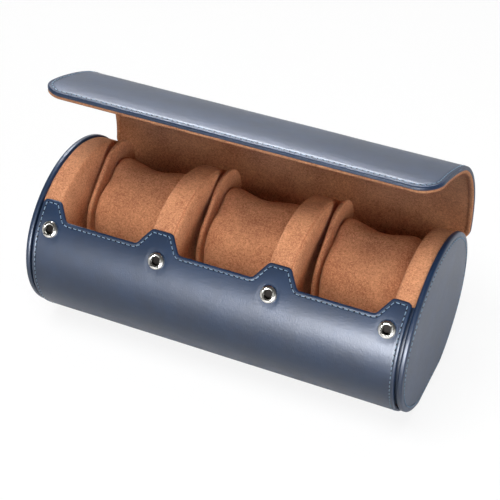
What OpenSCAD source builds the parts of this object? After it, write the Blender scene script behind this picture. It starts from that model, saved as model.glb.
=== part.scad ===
// Travel case for three wristwatches: an oval roll with a wrapped wall, two end
// panels, a hinged lid whose front part flexes, four snaps and three lift-out pillows.
// Millimetres. X runs along the case, Y to the back, Z up. The origin is the middle
// of the flat base. The rest pose is the lid open, as it is shown.

/* [Oval section] */
// Length over the two end panels
case_l = 225; // [200:1:250]
// Half width of the end panel, front to back
half_w = 54; // [50:0.5:58]
// How much less the half height is than the half width
squat = 5.4; // [3:0.1:8]
// Distance from the middle to the centre of each side arc
arc_y = 10; // [8:0.5:13]
// How far the wrapped wall stands proud of the end panels
wrap_out = 0.8; // [0.4:0.1:1.6]
// How much of the bottom of the wrapped wall is flattened to stand on
base_cut = 3; // [1.5:0.1:4]

/* [Layers] */
// Thickness of the leather
hide_t = 1; // [0.8:0.1:1.4]
// Thickness of the wall board
board_t = 1.6; // [1.2:0.1:2]
// Thickness of the suede lining
lining_t = 0.6; // [0.4:0.1:0.9]
// Width of the turned leather edge around a board
turn_w = 0.9; // [0.7:0.1:1.2]
// Thickness of the lid board
lid_board_t = 1.8; // [1.4:0.1:2.2]
// Thickness of an end panel, leather and board
panel_t = 4; // [3:0.1:5]
// Groove between the wrapped wall and an end panel
panel_gap = 0.8; // [0.4:0.1:1.2]

/* [Front edge] */
// Angle of the top of the tabs, about the centre of the top arc
tab_a = 54.8; // [52:0.2:57]
// Angle of the bottom of the notches, about the same centre
notch_a = 44.4; // [42.5:0.2:47]
// Width of a tab at its top
tab_top = 12.2; // [8:0.1:16]
// Width of a tab at its foot
tab_foot = 25.5; // [20:0.1:30]
// Width of the half tab at each end of the wall, at its top
tab_end = 10.45; // [8:0.05:14]
// Corner radius of the tabs
tab_r = 3; // [2:0.1:4]
// Corner radius at the bottom of a notch
notch_r = 3.2; // [2:0.1:5]
// Angle at which the back wall ends, about the centre of the back side arc
back_a = 14; // [11:0.5:15]

/* [Lid] */
// Gap between the end panel outline and the inner face of the closed lid
lid_gap = 1.6; // [1.3:0.1:2.2]
// How far the closed lid sits forward of the case
lid_fwd = 1.4; // [1.2:0.1:1.6]
// How far the closed lid sits above the case
lid_rise = 0.6; // [0.4:0.1:0.9]
// How much shorter than the case the lid is at each end
lid_short = 1; // [0.5:0.1:3]
// Height of the hinge line above the centre of the oval
hinge_h = 14.6; // [13.5:0.1:15.5]
// Opening angle of the lid in the pose that is shown
lid_open = 38.2; // [20:0.1:60]
// Length of the lid from the hinge line to the crease
lid_back_l = 90; // [84:0.5:96]
// How far the front part is flexed out in the pose that is shown
flap_flex = 18; // [0:0.5:22]
// Angle of the front edge of the closed lid, about the centre of the front side arc
flap_edge_a = 29; // [26:0.5:31]
// Corner radius of the front of the lid
flap_r = 15; // [8:0.5:20]
// Gap between a rounded fold and the flat edge that turns around it
fold_gap = 0.35; // [0.3:0.05:0.5]

/* [Pads and dividers] */
// Depth of an end pad
pad_t = 12.5; // [8:0.5:15]
// Thickness of a divider
div_t = 17; // [14:0.5:20]
// Width of the flat strip along the crown of a divider
div_strip = 8.8; // [6:0.2:11]
// How far the pads stay inside the end panel outline
pad_in = 1; // [0.6:0.1:1.6]
// Height of the bed under a pillow, from the centre of the oval
bed_h = -16.8; // [-22:0.2:-14]

/* [Pillows] */
// Gap between a pillow and the divider on each side
pillow_gap = 0.7; // [0.4:0.1:2]
// Thickness of the stiff cheek at the left end of a pillow
cheek_t = 3; // [2:0.1:4]
// How far the body of a pillow is below its cheek at the ends
body_low = 5.5; // [4:0.1:7]
// How much further the body sags between its ends
body_sag = 2.7; // [1:0.1:4]

/* [Snaps] */
// Angle of the snaps, about the centre of the front side arc
snap_a = 37.6; // [36:0.1:39]
// Distance of an outer snap from the end of the wall
snap_end = 8.95; // [8:0.05:14]
// How far an inner snap sits from the middle of its tab
snap_shift = 1.5; // [0:0.1:3]
// Outer diameter of a snap ring
snap_d = 9.6; // [8:0.1:10]
// Height of a snap ring above the leather
snap_h = 1.4; // [1:0.1:1.4]
// Diameter of the hole in a snap ring
snap_hole_d = 5.2; // [4.8:0.1:5.4]
// Diameter of the barrel that sets the ring in the wall
snap_barrel_d = 6; // [5.6:0.1:6.4]
// Diameter of the post that joins a stud to the lid
post_d = 2.6; // [2:0.1:2.8]
// Diameter of the stud
stud_d = 3.4; // [3:0.1:3.5]
// Diameter of the stud flange
flange_d = 8.8; // [7.5:0.1:9.2]
// Thickness of the stud flange
flange_t = 0.5; // [0.4:0.05:0.6]

/* [Hidden] */
$fn = 96;
half_h = half_w - squat;
side_r = half_w - arc_y;
top_r = (arc_y * arc_y + half_h * half_h - side_r * side_r) / (2 * (half_h - side_r));
arc_z = top_r - half_h;
turn_a = atan2(arc_z, arc_y);
z0 = half_h + wrap_out - base_cut;
wrap_in = wrap_out - hide_t - board_t - lining_t;
hide_in = wrap_out - hide_t;
board_in = hide_in - board_t;
panel_in = case_l / 2 - panel_t;
wrap_half = panel_in - panel_gap;
lid_half_l = case_l / 2 - lid_short;
notch_top = (2 * (wrap_half - tab_end) - 2 * tab_top) / 3;
notch_pitch = notch_top + tab_top;
notch_low = notch_pitch - tab_foot;
lid_out = lid_gap + lining_t + lid_board_t + hide_t;
lid_mid = (lid_gap + lid_out) / 2;
fold_r = (lid_out - lid_gap) / 2;
fold_d = fold_r + fold_gap;
lid_y = -lid_fwd;
lid_z = lid_rise;
side_m = side_r + lid_mid;
top_m = top_r + lid_mid;
hinge_a = asin((hinge_h - lid_z) / side_m);
hinge = [arc_y + lid_y + side_m * cos(hinge_a), hinge_h];
lid_start_a = hinge_a + fold_d / side_m * 180 / PI;
side_len = side_m * (turn_a - hinge_a) * PI / 180;
crease_a = turn_a + (lid_back_l - side_len) / top_m * 180 / PI;
crease = [lid_y + top_m * cos(crease_a), lid_z - arc_z + top_m * sin(crease_a)];
flap_start_a = crease_a + fold_d / top_m * 180 / PI;
edge_a = (tab_a + notch_a) / 2;
edge_h = 2 * (top_r + wrap_out) * sin((tab_a - notch_a) / 2);
edge_lean = (notch_top - notch_low) / 2 / edge_h;
edge_grow = sqrt(1 + edge_lean * edge_lean) - edge_lean;
div_x = notch_pitch / 2;
pad_x = panel_in - pad_t;
bay_x = (div_x + div_t / 2 + pad_x) / 2;
pillow_l = 2 * (div_x - div_t / 2 - pillow_gap);
snap_r = side_r + wrap_out;
snap_in_x = notch_pitch / 2 - snap_shift;
snap_out_x = wrap_half - snap_end;
snap_dir = [-cos(snap_a), sin(snap_a)];
snap_foot = [-arc_y, 0] + snap_r * snap_dir;
lid_foot = snap_foot - [lid_y - arc_y, lid_z];
lid_b = lid_foot * snap_dir;
lid_reach = sqrt(lid_b * lid_b - lid_foot * lid_foot + pow(side_r + lid_gap, 2)) - lid_b;
seat_t = 0.3;
wire_r = 0.28;
wire_x = stud_d / 2 + 0.32 + wire_r;
fit = 0.03;
far = 3 * half_w;

hide_c = [0.13, 0.2, 0.33];
suede_c = [0.62, 0.4, 0.25];
board_c = [0.72, 0.66, 0.56];
metal_c = [0.8, 0.8, 0.82];

function unit(v) = v / norm(v);

// Points of a rounded corner at p, on the way from a to b.
function bend(a, p, b, r, n = 6) =
    let (u = unit(a - p), w = unit(b - p), h = acos(u * w) / 2)
    let (c = p + unit(u + w) * r / sin(h), s = p + u * r / tan(h), e = p + w * r / tan(h))
    let (a1 = atan2(s[1] - c[1], s[0] - c[0]), a2 = atan2(e[1] - c[1], e[0] - c[0]))
    let (da = (a2 - a1 + 540) % 360 - 180)
    [for (i = [0:n]) c + r * [cos(a1 + da * i / n), sin(a1 + da * i / n)]];

// The end outline, grown by o, as a plane figure: Y to the right, Z up.
module oval(o, low) {
    reach_y = (top_r + o) * arc_y / (top_r - side_r);
    intersection() {
        union() {
            intersection() {
                translate([0, -arc_z]) circle(r = top_r + o);
                translate([0, arc_z]) circle(r = top_r + o);
                square([2 * reach_y, far], center = true);
            }
            translate([arc_y, 0]) circle(r = side_r + o);
            translate([-arc_y, 0]) circle(r = side_r + o);
        }
        translate([-far, low]) square([2 * far, 2 * far]);
    }
}

module case_oval(o) {
    oval(o, wrap_out - o - z0);
}

module along_x(x0, x1) {
    translate([x0, 0, z0]) rotate([90, 0, 90]) linear_extrude(height = x1 - x0) children();
}

// Corner points of the front edge of the wall, moved into the wall by d.
function notch_line(xc, d) =
    let (t = edge_h / 2 - d, b = -edge_h / 2 - d, k = edge_grow * d)
    let (wt = notch_top / 2 + k, wb = notch_low / 2 + k)
    let (p = [xc - wt, t], q = [xc - wb, b], r = [xc + wb, b], s = [xc + wt, t])
    concat(bend(p - [9, 0], p, q, tab_r - d), bend(p, q, r, notch_r + d),
        bend(q, r, s, notch_r + d), bend(r, s, s + [9, 0], tab_r - d));

module above_front_edge(d) {
    r = top_r + wrap_out;
    line = concat([[-case_l, edge_h / 2 - d]], notch_line(-notch_pitch, d),
        notch_line(0, d), notch_line(notch_pitch, d), [[case_l, edge_h / 2 - d]]);
    translate([0, -r * cos(edge_a), z0 - arc_z + r * sin(edge_a)]) rotate([90 - edge_a, 0, 0])
        translate([0, 0, -14]) linear_extrude(height = 24)
            polygon(concat(line, [[case_l, half_w], [-case_l, half_w]]));
}

// The open top, as a plane figure that reaches down to the back edge of the wall.
module mouth(d) {
    back = back_a - d / side_r * 180 / PI;
    polygon([[0, -arc_z], [arc_y, 0], [arc_y + far * cos(back), far * sin(back)],
        [far, 2 * far], [-far, 2 * far], [-far * cos(edge_a + 18), far * sin(edge_a + 18) - arc_z]]);
}

// One layer of the wrapped wall between two offsets, its free edges moved in by d.
module wall(o_in, o_out, half_len, d) {
    difference() {
        along_x(-half_len, half_len) difference() {
            case_oval(o_out);
            case_oval(o_in);
            mouth(d);
        }
        above_front_edge(d);
    }
}

module at_snap(x) {
    translate([x, snap_foot[0], z0 + snap_foot[1]]) rotate([90 - snap_a, 0, 0]) children();
}

module at_snaps() {
    for (x = [-snap_out_x, -snap_in_x, snap_in_x, snap_out_x]) at_snap(x) children();
}

module body_leather() {
    color(hide_c) difference() {
        wall(board_in, wrap_out, wrap_half, 0);
        wall(board_in - 1, hide_in, wrap_half - turn_w, turn_w);
        at_snaps() translate([0, 0, -seat_t]) cylinder(r = snap_d / 2 + fit, h = 3);
        at_snaps() translate([0, 0, -3]) cylinder(r = snap_barrel_d / 2 + fit, h = 4);
    }
}

module tray_board() {
    color(board_c) difference() {
        wall(board_in, hide_in, wrap_half - turn_w, turn_w);
        at_snaps() translate([0, 0, -3]) cylinder(r = snap_barrel_d / 2 + fit, h = 4);
    }
}

module tray_lining() {
    color(suede_c) wall(wrap_in, board_in, wrap_half, 1.2);
}

// The leather bead on the hinge line and the web that joins it to the back wall.
module hinge_welt() {
    edge_in = [arc_y, 0] + (side_r - pad_in + 0.1) * [cos(back_a), sin(back_a)];
    edge_out = [arc_y, 0] + (side_r + wrap_out - 0.5) * [cos(back_a), sin(back_a)];
    color(hide_c) union() {
        along_x(-lid_half_l, lid_half_l) translate(hinge) circle(r = fold_r);
        along_x(-wrap_half, wrap_half)
            polygon([edge_in, edge_out, hinge + [1.1, -0.4], hinge + [-1.1, 0.4]]);
    }
}

// Turned disc with its axis on X. The rim gives [change of radius, x] in order of x.
module disc(r, rim) {
    n = len(rim) - 1;
    rotate([0, 90, 0]) rotate_extrude()
        polygon(concat([[0, rim[0][1]]], [for (p = rim) [r + p[0], p[1]]], [[0, rim[n][1]]]));
}

// The case outline, grown by o, with a shaped rim.
module oval_disc(o, x0, rim) {
    reach_y = (top_r + o) * arc_y / (top_r - side_r);
    t = rim[len(rim) - 1][1];
    translate([x0, 0, z0]) intersection() {
        union() {
            intersection() {
                translate([0, 0, -arc_z]) disc(top_r + o, rim);
                translate([0, 0, arc_z]) disc(top_r + o, rim);
                translate([-1, -reach_y, -far]) cube([t + 2, 2 * reach_y, 2 * far]);
            }
            intersection() {
                translate([0, arc_y, 0]) disc(side_r + o, rim);
                translate([-1, reach_y - 0.01, -far]) cube([t + 2, far, 2 * far]);
            }
            intersection() {
                translate([0, -arc_y, 0]) disc(side_r + o, rim);
                translate([-1, 0.01 - reach_y - far, -far]) cube([t + 2, far, 2 * far]);
            }
        }
        translate([-1, -far, wrap_out - o - z0]) cube([t + 2, 2 * far, 2 * far]);
    }
}

module end_leather() {
    rim = [[0, 0], [0, panel_t - 0.9], [-0.12, panel_t - 0.5], [-0.45, panel_t - 0.15], [-1, panel_t]];
    color(hide_c) difference() {
        oval_disc(0, panel_in, rim);
        along_x(panel_in - 1, case_l / 2 - hide_t) case_oval(-hide_t);
    }
}

module end_board() {
    color(board_c) along_x(panel_in, case_l / 2 - hide_t) case_oval(-hide_t);
}

// A quarter round from the face in x to the rim, with n steps.
function shoulder(w, h, n) = [for (i = [0:n]) [-h + h * sin(90 * i / n), w - w * cos(90 * i / n)]];

module end_pad() {
    rim = concat(shoulder(2.6, 3.2, 5), [[0, pad_t - 1], [-0.6, pad_t - 0.2], [-1.2, pad_t]]);
    color(suede_c) difference() {
        oval_disc(-pad_in, pad_x, rim);
        wall(wrap_in, wrap_out, wrap_half + 1, 0);
    }
}

// Divider: a flat strip along the crown, a sewn groove each side, then a soft shoulder.
module divider() {
    w = (div_t - div_strip) / 2;
    left = [for (p = shoulder(w - 0.5, 6.2, 6)) p + [-0.35, 0]];
    half = concat(left, [[-0.95, w], [-0.3, w + 0.5], [0, w + 1.6]]);
    other = [for (i = [len(half) - 1:-1:0]) [half[i][0], div_t - half[i][1]]];
    color(suede_c) difference() {
        oval_disc(-pad_in, -div_t / 2, concat(half, other));
        translate([-div_x, 0, 0]) wall(wrap_in, wrap_out, wrap_half, 0);
    }
}

// Fixed suede bed that carries a pillow.
module bed(x0, x1) {
    y0 = -30;
    y1 = 36;
    r = 5;
    color(suede_c) along_x(x0, x1) intersection() {
        case_oval(wrap_in);
        union() {
            translate([y0, -far]) square([y1 - y0, far + bed_h - r]);
            translate([y0 + r, -far]) square([y1 - y0 - 2 * r, far + bed_h]);
            translate([y0 + r, bed_h - r]) circle(r = r);
            translate([y1 - r, bed_h - r]) circle(r = r);
        }
    }
}

module snap_socket() {
    r = snap_d / 2;
    b = snap_barrel_d / 2;
    c = snap_hole_d / 2;
    deep = hide_t + board_t;
    color(metal_c) difference() {
        rotate_extrude() polygon([[c, -0.9], [c, snap_h - 0.35], [c + 0.15, snap_h - 0.1],
            [c + 0.5, snap_h], [c + 0.9, snap_h - 0.03], [r - 0.75, snap_h - 0.3],
            [r - 0.25, snap_h - 0.75], [r, snap_h - 1.3], [r, -seat_t], [b, -seat_t],
            [b, 0.1 - deep], [0, 0.1 - deep], [0, -0.9]]);
        for (s = [-1, 1]) translate([s * wire_x - 0.36, -3.3, 0.3]) cube([0.72, 6.6, 2]);
        translate([-wire_x, -3.4, 0.3]) cube([2 * wire_x, 0.72, 2]);
    }
}

module snap_spring() {
    color(metal_c) union() {
        for (s = [-1, 1]) translate([s * wire_x, -3.04, 0.62]) rotate([-90, 0, 0])
            cylinder(r = wire_r, h = 6.1);
        translate([-wire_x, -3.04, 0.62]) rotate([0, 90, 0]) cylinder(r = wire_r, h = 2 * wire_x);
        for (s = [-1, 1]) translate([s * wire_x, -3.04, 0.62]) sphere(r = wire_r);
    }
}

// Turns a piece about a line along X, its front going up.
module turn_up(p, a) {
    translate([0, p[0], z0 + p[1]]) rotate([-a, 0, 0]) translate([0, -p[0], -z0 - p[1]]) children();
}

module as_lid() {
    turn_up(hinge, lid_open) children();
}

module as_flap() {
    turn_up(hinge, lid_open) turn_up(crease, flap_flex) children();
}

// The part of the closed lid between the hinge and the crease, as a plane figure.
module lid_ring(o_in, o_out, d_back, d_front) {
    a0 = lid_start_a + d_back / side_m * 180 / PI;
    a1 = crease_a - d_front / top_m * 180 / PI;
    c0 = [arc_y + lid_y, lid_z];
    c1 = [lid_y, lid_z - arc_z];
    intersection() {
        translate([lid_y, lid_z]) difference() {
            oval(o_out, -far);
            oval(o_in, -far);
        }
        polygon([c1, c0, c0 + far * [cos(a0), sin(a0)], [far, 2 * far],
            c1 + 2 * far * [cos(a1), sin(a1)]]);
    }
}

// The front part of the closed lid, beyond the crease.
module flap_ring(o_in, o_out, d_back, d_front) {
    a0 = flap_start_a + d_back / top_m * 180 / PI;
    a1 = flap_edge_a + d_front / side_m * 180 / PI;
    c0 = [lid_y, lid_z - arc_z];
    c1 = [lid_y - arc_y, lid_z];
    intersection() {
        translate([lid_y, lid_z]) difference() {
            oval(o_out, -far);
            oval(o_in, -far);
        }
        polygon([c1, c0, c0 + far * [cos(a0), sin(a0)], [-far, 2 * far],
            c1 + far * [-cos(a1), sin(a1)]]);
    }
}

module lid_leather() {
    color(hide_c) as_lid() difference() {
        union() {
            along_x(-lid_half_l, lid_half_l) lid_ring(lid_gap, lid_out, 0, 0);
            along_x(-lid_half_l, lid_half_l) translate(crease) circle(r = fold_r);
        }
        along_x(turn_w - lid_half_l, lid_half_l - turn_w)
            lid_ring(lid_gap - 1, lid_out - hide_t, turn_w, fold_r + 0.3);
    }
}

module lid_board() {
    color(board_c) as_lid() along_x(turn_w - lid_half_l, lid_half_l - turn_w)
        lid_ring(lid_gap + lining_t, lid_out - hide_t, turn_w, fold_r + 0.3);
}

module lid_lining() {
    color(suede_c) as_lid() along_x(turn_w - lid_half_l, lid_half_l - turn_w)
        lid_ring(lid_gap, lid_gap + lining_t, turn_w, fold_r + 0.3);
}

// Keeps what lies inside the rounded front corners, moved in by d.
module front_corners(d) {
    a = 38;
    tip = [lid_y - arc_y, lid_z] + (side_r + lid_out) * [-cos(flap_edge_a), sin(flap_edge_a)];
    w = lid_half_l - d;
    r = flap_r - d;
    translate([0, tip[0], z0 + tip[1]]) rotate([90 - a, 0, 0]) translate([0, 0, -14])
        linear_extrude(height = 28) union() {
            translate([-w, d + r]) square([2 * w, far]);
            translate([r - w, d]) square([2 * (w - r), far]);
            for (s = [-1, 1]) translate([s * (w - r), d + r]) circle(r = r);
        }
}

module flap_leather() {
    color(hide_c) as_flap() difference() {
        intersection() {
            along_x(-lid_half_l, lid_half_l) flap_ring(lid_gap, lid_out, 0, 0);
            front_corners(0);
        }
        intersection() {
            along_x(turn_w - lid_half_l, lid_half_l - turn_w)
                flap_ring(lid_gap - 1, lid_out - hide_t, turn_w, turn_w);
            front_corners(turn_w);
        }
    }
}

module flap_layer(o_in, o_out) {
    intersection() {
        along_x(turn_w - lid_half_l, lid_half_l - turn_w) flap_ring(o_in, o_out, turn_w, turn_w);
        front_corners(turn_w);
    }
}

module flap_board() {
    color(board_c) as_flap() difference() {
        flap_layer(lid_gap + lining_t, lid_out - hide_t);
        at_snaps() translate([0, 0, lid_reach - 1]) cylinder(r = post_d / 2 + fit, h = far);
    }
}

module flap_lining() {
    color(suede_c) as_flap() difference() {
        flap_layer(lid_gap, lid_gap + lining_t);
        at_snaps() translate([0, 0, lid_reach - 1]) cylinder(r = post_d / 2 + fit, h = far);
        at_snaps() translate([0, 0, lid_reach - 2]) cylinder(r = flange_d / 2 + fit, h = 2);
    }
}

module snap_stud(x) {
    r = stud_d / 2;
    f = flange_d / 2;
    top = lid_reach - flange_t;
    color(metal_c) as_flap() at_snap(x) rotate_extrude() polygon([[0, 0.1], [r - 0.5, 0.1],
        [r, 0.45], [r, 0.8], [r - 0.2, 1.1], [r - 0.2, top], [f - 0.3, top], [f, top + 0.2],
        [f, lid_reach], [post_d / 2, lid_reach], [post_d / 2, lid_reach + 2], [0, lid_reach + 2]]);
}

// Leather that carries the outside of the wall around the bead into the lid.
module lid_hinge_leather() {
    foot = [arc_y, 0] + (side_r + wrap_out) * [cos(back_a), sin(back_a)] - hinge;
    r0 = fold_r + 0.08;
    r1 = fold_r + 0.92;
    arc_out = [for (i = [0:8]) let (a = 24 - 94 * i / 8) r1 * [cos(a), sin(a)]];
    arc_in = [for (i = [0:8]) let (a = -70 + 94 * i / 8) r0 * [cos(a), sin(a)]];
    color(hide_c) along_x(-wrap_half, wrap_half) translate(hinge)
        polygon(concat(arc_out, [foot + [0.6, 0.15], foot], arc_in));
}

// Folded leather strip that covers the crease.
module lid_crease_leather() {
    r0 = fold_r + 0.06;
    r1 = fold_r + 0.6;
    arc_out = [for (i = [0:5]) let (a = 40 * i / 5 - 2) r1 * [cos(a), sin(a)]];
    arc_in = [for (i = [0:5]) let (a = 38 - 40 * i / 5) r0 * [cos(a), sin(a)]];
    color(hide_c) as_lid() along_x(1 - lid_half_l, lid_half_l - 1)
        translate(crease) rotate(crease_a) polygon(concat(arc_out, arc_in));
}

// Outline of a pillow cheek: the common hull of two rounds, as a distance from its centre.
pillow_c = [13, 8];
round_a = [22, 22.5, 20];
round_b = [9, 7, 24.5];
function ray_to(c, r, u) =
    let (q = [c[0] - pillow_c[0], c[1] - pillow_c[1]], s = q * u)
    s + sqrt(max(0, r * r - q * q + s * s));
function cheek_reach(u) =
    max([for (t = [0:0.1:1]) let (m = round_a * (1 - t) + round_b * t) ray_to([m[0], m[1]], m[2], u)]);
function ease(t) = let (k = min(1, max(0, t))) k * k * (3 - 2 * k);
function pillow_ring(x, e, q, n) = [for (i = [0:n - 1])
    let (a = 360 * i / n, u = [cos(a), sin(a)], r = cheek_reach(u) - q - e * ease((u[1] + 0.95) / 0.9))
    [x, pillow_c[0] + r * u[0], z0 + max(bed_h, pillow_c[1] + r * u[1])]];

// Closed skin over a list of rings with n points each.
module skin(rings, n) {
    k = len(rings);
    sides = [for (j = [0:k - 2]) for (i = [0:n - 1]) let (m = (i + 1) % n)
        [j * n + i, (j + 1) * n + i, (j + 1) * n + m, j * n + m]];
    low = [[for (i = [0:n - 1]) i]];
    high = [[for (i = [n - 1:-1:0]) (k - 1) * n + i]];
    polyhedron(points = [for (r = rings) for (p = r) p], faces = concat(low, sides, high));
}

// The body dips in the middle, closes in on its cheek and rounds over at the far end.
module cushion(xc) {
    n = 40;
    x0 = xc - pillow_l / 2 + cheek_t;
    w = pillow_l - cheek_t;
    plain = [for (k = [0:7]) [4 + k * (w - 9.5) / 7, 0]];
    cut = concat([[0, 1.5], [0.6, 0.5], [1.6, 0.1]], plain,
        [[w - 3.6, 0.35], [w - 2, 1.2], [w - 0.8, 2.7], [w, 5.2]]);
    color(suede_c) skin([for (c = cut)
        pillow_ring(x0 + c[0], body_low + body_sag * pow(sin(180 * c[0] / w), 2), c[1], n)], n);
}

module cheek(xc) {
    n = 40;
    x0 = xc - pillow_l / 2;
    cut = [[0, 1.3], [0.45, 0.4], [cheek_t / 2, 0], [cheek_t - 0.45, 0.4], [cheek_t, 1.3]];
    color(suede_c) skin([for (c = cut) pillow_ring(x0 + c[0], 0, c[1], n)], n);
}

body_leather();
tray_board();
tray_lining();
hinge_welt();
mirror([1, 0, 0]) end_leather();  // left_end_leather
mirror([1, 0, 0]) end_board();  // left_end_board
mirror([1, 0, 0]) end_pad();  // left_end_pad
end_leather();  // right_end_leather
end_board();  // right_end_board
end_pad();  // right_end_pad
mirror([1, 0, 0]) translate([div_x, 0, 0]) divider();  // left_divider
translate([div_x, 0, 0]) divider();  // right_divider
bed(-pad_x, -div_x - div_t / 2);  // left_bed
bed(div_t / 2 - div_x, div_x - div_t / 2);  // middle_bed
bed(div_x + div_t / 2, pad_x);  // right_bed
at_snap(-snap_out_x) snap_socket();  // snap_socket_1
at_snap(-snap_in_x) snap_socket();  // snap_socket_2
at_snap(snap_in_x) snap_socket();  // snap_socket_3
at_snap(snap_out_x) snap_socket();  // snap_socket_4
at_snap(-snap_out_x) snap_spring();  // snap_spring_1
at_snap(-snap_in_x) snap_spring();  // snap_spring_2
at_snap(snap_in_x) snap_spring();  // snap_spring_3
at_snap(snap_out_x) snap_spring();  // snap_spring_4
lid_leather();
lid_board();
lid_lining();
lid_hinge_leather();
lid_crease_leather();
flap_leather();
flap_board();
flap_lining();
snap_stud(-snap_out_x);  // snap_stud_1
snap_stud(-snap_in_x);  // snap_stud_2
snap_stud(snap_in_x);  // snap_stud_3
snap_stud(snap_out_x);  // snap_stud_4
cushion(-bay_x);  // pillow_left_cushion
cheek(-bay_x);  // pillow_left_cheek
cushion(0);  // pillow_middle_cushion
cheek(0);  // pillow_middle_cheek
cushion(bay_x);  // pillow_right_cushion
cheek(bay_x);  // pillow_right_cheek
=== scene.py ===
import math
import random
import bpy
import bmesh
import numpy as np
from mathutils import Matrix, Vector, noise


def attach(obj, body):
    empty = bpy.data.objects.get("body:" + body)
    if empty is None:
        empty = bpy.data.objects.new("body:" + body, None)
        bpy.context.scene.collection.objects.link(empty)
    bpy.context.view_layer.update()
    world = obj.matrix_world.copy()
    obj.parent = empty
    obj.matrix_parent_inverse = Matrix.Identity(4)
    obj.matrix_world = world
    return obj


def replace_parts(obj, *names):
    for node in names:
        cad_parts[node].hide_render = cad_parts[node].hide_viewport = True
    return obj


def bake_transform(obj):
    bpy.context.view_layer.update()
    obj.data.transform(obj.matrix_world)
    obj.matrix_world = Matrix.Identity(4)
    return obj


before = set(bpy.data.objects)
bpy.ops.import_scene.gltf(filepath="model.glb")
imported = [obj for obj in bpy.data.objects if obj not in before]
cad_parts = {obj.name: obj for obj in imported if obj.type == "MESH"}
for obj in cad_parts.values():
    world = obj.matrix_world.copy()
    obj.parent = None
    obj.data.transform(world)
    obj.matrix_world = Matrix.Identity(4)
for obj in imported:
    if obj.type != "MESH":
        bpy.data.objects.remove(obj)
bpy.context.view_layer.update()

# Travel case with three pillows. Lengths are millimetres until a mesh is made, angles degrees.
random.seed(7)
section = {  # the end outline and the wall, the same sizes as in the source
    "halfWide": 54.0, "squat": 5.4, "arcY": 10.0, "wallOut": 0.8, "baseCut": 3.0,
    "backAngle": 14.0, "tabAngle": 54.8, "notchAngle": 44.4, "wallHalf": 107.7,
    "notchPitch": 68.9, "notchTop": 56.7, "notchLow": 43.4}
lid = {  # the closed lid, and how far it stands open
    "gap": 1.6, "forward": 1.4, "rise": 0.6, "half": 111.5, "hingeUp": 14.6, "open": 38.2,
    "crease": 90.0, "frontAngle": 29.0, "cornerRadius": 13.0, "thick": 3.4,
    "flexFrom": 80.0, "flexTo": 120.0, "flex": 23.5}

halfHigh = section["halfWide"] - section["squat"]
sideR = section["halfWide"] - section["arcY"]
topR = (section["arcY"] ** 2 + halfHigh ** 2 - sideR ** 2) / (2 * (halfHigh - sideR))
arcZ = topR - halfHigh
midZ = halfHigh + section["wallOut"] - section["baseCut"]
turn = math.degrees(math.atan2(arcZ, section["arcY"]))
print("section: top radius %.2f, middle at %.1f" % (topR, midZ))


def ease(t):
    t = np.clip(t, 0, 1)
    return t * t * (3 - 2 * t)


def ovalPoint(angle, out):  # point of the end outline, grown by out, whose outward normal has this angle
    a = (np.asarray(angle, float) + 180) % 360 - 180
    rad = np.radians(a)
    onSide = (np.abs(a) <= turn) | (np.abs(a) >= 180 - turn)
    cy = np.where(onSide, np.copysign(section["arcY"], np.cos(rad)), 0)
    cz = np.where(onSide, 0, -np.copysign(arcZ, np.sin(rad)))
    r = np.where(onSide, sideR, topR) + out
    return np.stack([cy + r * np.cos(rad), cz + r * np.sin(rad)], -1)


def arcLength(angle, grow):  # along the outline from each angle of the list to the next, summed
    a = (angle[:-1] + angle[1:]) / 2
    a = (a + 180) % 360 - 180
    r = np.where((np.abs(a) <= turn) | (np.abs(a) >= 180 - turn), sideR, topR) + grow
    return np.concatenate([[0], np.cumsum(np.abs(np.radians(np.diff(angle))) * r)])


def flattened(yz, out):  # the case stands on a flat
    yz = yz.copy()
    yz[..., 1] = np.maximum(yz[..., 1], section["wallOut"] - out - midZ)
    return yz


def wavy(points, seed):  # even noise from -1 to 1 at each point of a list
    return np.array([noise.noise(Vector((*p, seed))) for p in points])


class Skin:  # a face that is bent in Y and Z only: place() puts points at (x, s), out from it
    def __init__(self, s, yz, outward=1):
        self.s, self.yz = s, yz
        d = np.gradient(yz, s, axis=0)
        d /= np.linalg.norm(d, axis=1)[:, None]
        self.n = np.stack([d[:, 1], -d[:, 0]], -1) * outward

    def place(self, x, s, out):
        y, z = (np.interp(s, self.s, self.yz[:, k]) + out * np.interp(s, self.s, self.n[:, k])
                for k in (0, 1))
        return np.stack([np.broadcast_to(x, y.shape), y, z], -1)


def turnUp(yz, pivot, angle):  # the front goes up
    a = np.radians(np.asarray(angle, float))[..., None]
    d = yz - pivot
    return pivot + np.cos(a) * d + np.sin(a) * np.stack([d[:, 1], -d[:, 0]], -1)


# The wall, from its back edge down, under and up to the front edge.
wallAngles = np.arange(section["backAngle"] + 4, -240, -0.25)
wallS = arcLength(wallAngles, 0)
wallYz = flattened(ovalPoint(wallAngles, section["wallOut"]), section["wallOut"]) + [0, midZ]
flatSpan = 15  # the edge of the flat is rounded over this many points
evened = [np.convolve(wallYz[:, k], np.ones(flatSpan) / flatSpan, "valid") for k in (0, 1)]
wallYz[flatSpan // 2:-(flatSpan // 2)] = np.stack(evened, -1)
wallSkin = Skin(wallS, wallYz, -1)


def wallAt(angle):
    return float(np.interp(-angle, -wallAngles, wallS))


edgeAngle = (section["tabAngle"] + section["notchAngle"]) / 2
edgeHalf = math.radians((section["tabAngle"] - section["notchAngle"]) / 2)
edgeHigh = 2 * (topR + section["wallOut"]) * math.sin(edgeHalf)
edgeS = wallAt(-180 - edgeAngle)
shrink = topR / (topR + section["wallOut"])

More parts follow.
